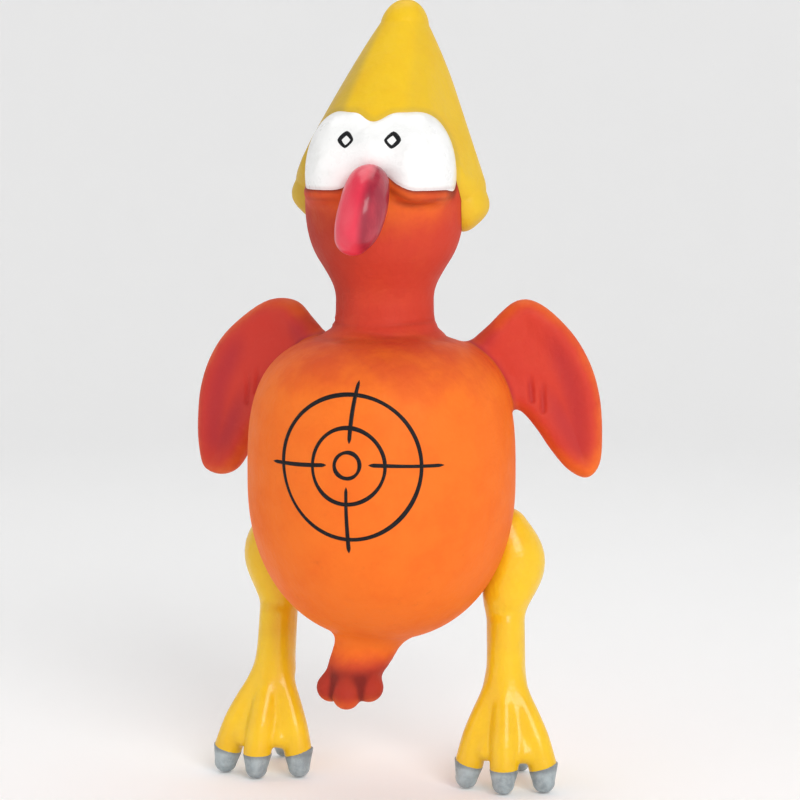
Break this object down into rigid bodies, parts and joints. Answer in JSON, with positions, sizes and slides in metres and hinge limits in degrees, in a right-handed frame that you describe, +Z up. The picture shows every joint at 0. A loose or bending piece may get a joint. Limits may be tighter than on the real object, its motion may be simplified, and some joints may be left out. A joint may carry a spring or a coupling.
{
  "type": "rubber chicken",
  "caption": "Cartoon rubber chicken with a round belly, target rings, pointed comb, short wings and clawed feet, which stands upright.",
  "frame": {"origin": "centre of the toy's bounding box at floor level, between its feet", "axes": "+Z up, the face and the belly's target look along -Y, and the toy's own left side is +X"},
  "size_m": [0.1212, 0.0794, 0.2314],
  "materials": {
    "orange_latex": "matte",
    "red_latex": "matte",
    "wing_latex": "matte",
    "tail_latex": "matte",
    "yellow_hood": "satin",
    "yellow_leg": "gloss",
    "white_paint": "satin",
    "black_paint": "satin",
    "beak_crimson": "gloss",
    "claw_grey": "satin",
    "filling_fibre": "matte",
    "squeaker_white": "satin",
    "squeaker_red": "gloss",
    "reed_brass": "satin"
  },
  "bodies": {
    "torso": {"torso_skin": "orange_latex", "torso_filling": "filling_fibre", "target_print": "black_paint", "squeaker_housing": "squeaker_white", "squeaker_reed_holder": "squeaker_red", "squeaker_reed": "reed_brass"},
    "neck": {"neck_skin": "red_latex"},
    "head": {"head_skin": "red_latex", "head_filling": "filling_fibre", "comb_hood": "yellow_hood", "eye_patch": "white_paint", "pupils": "black_paint"},
    "beak": {"beak": "beak_crimson"},
    "left_wing": {"left_wing": "wing_latex"},
    "right_wing": {"right_wing": "wing_latex"},
    "tail": {"tail_skin": "tail_latex"},
    "left_thigh": {"left_thigh": "yellow_leg"},
    "left_shank": {"left_shank": "yellow_leg"},
    "left_foot": {"left_foot": "yellow_leg", "left_claws": "claw_grey"},
    "right_thigh": {"right_thigh": "yellow_leg"},
    "right_shank": {"right_shank": "yellow_leg"},
    "right_foot": {"right_foot": "yellow_leg", "right_claws": "claw_grey"}
  },
  "joints": [
    {"name": "neck_nod", "type": "hinge", "parent": "torso", "child": "neck", "pos_m": [0, 0.004, 0.139], "axis": [1, 0, 0], "range_deg": [-25, 30], "stiffness_Nm_per_rad": 0.6},
    {"name": "head_turn", "type": "hinge", "parent": "neck", "child": "head", "pos_m": [0, 0.004, 0.148], "axis": [0, 0, 1], "range_deg": [-35, 35], "stiffness_Nm_per_rad": 0.3},
    {"name": "beak_bend", "type": "hinge", "parent": "head", "child": "beak", "pos_m": [0, -0.0185, 0.1795], "axis": [1, 0, 0], "range_deg": [-25, 5], "stiffness_Nm_per_rad": 0.05},
    {"name": "left_wing_fold", "type": "hinge", "parent": "torso", "child": "left_wing", "pos_m": [0.034, 0.008, 0.12], "axis": [0.3489, 0, -0.9371], "range_deg": [-20, 45], "stiffness_Nm_per_rad": 0.1},
    {"name": "right_wing_fold", "type": "hinge", "parent": "torso", "child": "right_wing", "pos_m": [-0.034, 0.008, 0.12], "axis": [0.3489, 0, 0.9371], "range_deg": [-20, 45], "stiffness_Nm_per_rad": 0.1},
    {"name": "tail_wag", "type": "hinge", "parent": "torso", "child": "tail", "pos_m": [-0.003, -0.002, 0.046], "axis": [1, 0, 0], "range_deg": [-25, 25], "stiffness_Nm_per_rad": 0.08},
    {"name": "left_hip_swing", "type": "hinge", "parent": "torso", "child": "left_thigh", "pos_m": [0.034, 0.014, 0.076], "axis": [1, 0, 0], "range_deg": [-20, 20], "stiffness_Nm_per_rad": 1.2},
    {"name": "left_knee_bend", "type": "hinge", "parent": "left_thigh", "child": "left_shank", "pos_m": [0.0348, 0.012, 0.0575], "axis": [1, 0, 0], "range_deg": [-20, 20], "stiffness_Nm_per_rad": 1.2},
    {"name": "left_ankle_bend", "type": "hinge", "parent": "left_shank", "child": "left_foot", "pos_m": [0.0355, 0.01, 0.031], "axis": [1, 0, 0], "range_deg": [-20, 20], "stiffness_Nm_per_rad": 1.2},
    {"name": "right_hip_swing", "type": "hinge", "parent": "torso", "child": "right_thigh", "pos_m": [-0.034, 0.014, 0.076], "axis": [1, 0, 0], "range_deg": [-20, 20], "stiffness_Nm_per_rad": 1.2},
    {"name": "right_knee_bend", "type": "hinge", "parent": "right_thigh", "child": "right_shank", "pos_m": [-0.0348, 0.012, 0.0575], "axis": [1, 0, 0], "range_deg": [-20, 20], "stiffness_Nm_per_rad": 1.2},
    {"name": "right_ankle_bend", "type": "hinge", "parent": "right_shank", "child": "right_foot", "pos_m": [-0.0355, 0.01, 0.031], "axis": [1, 0, 0], "range_deg": [-20, 20], "stiffness_Nm_per_rad": 1.2}
  ]
}
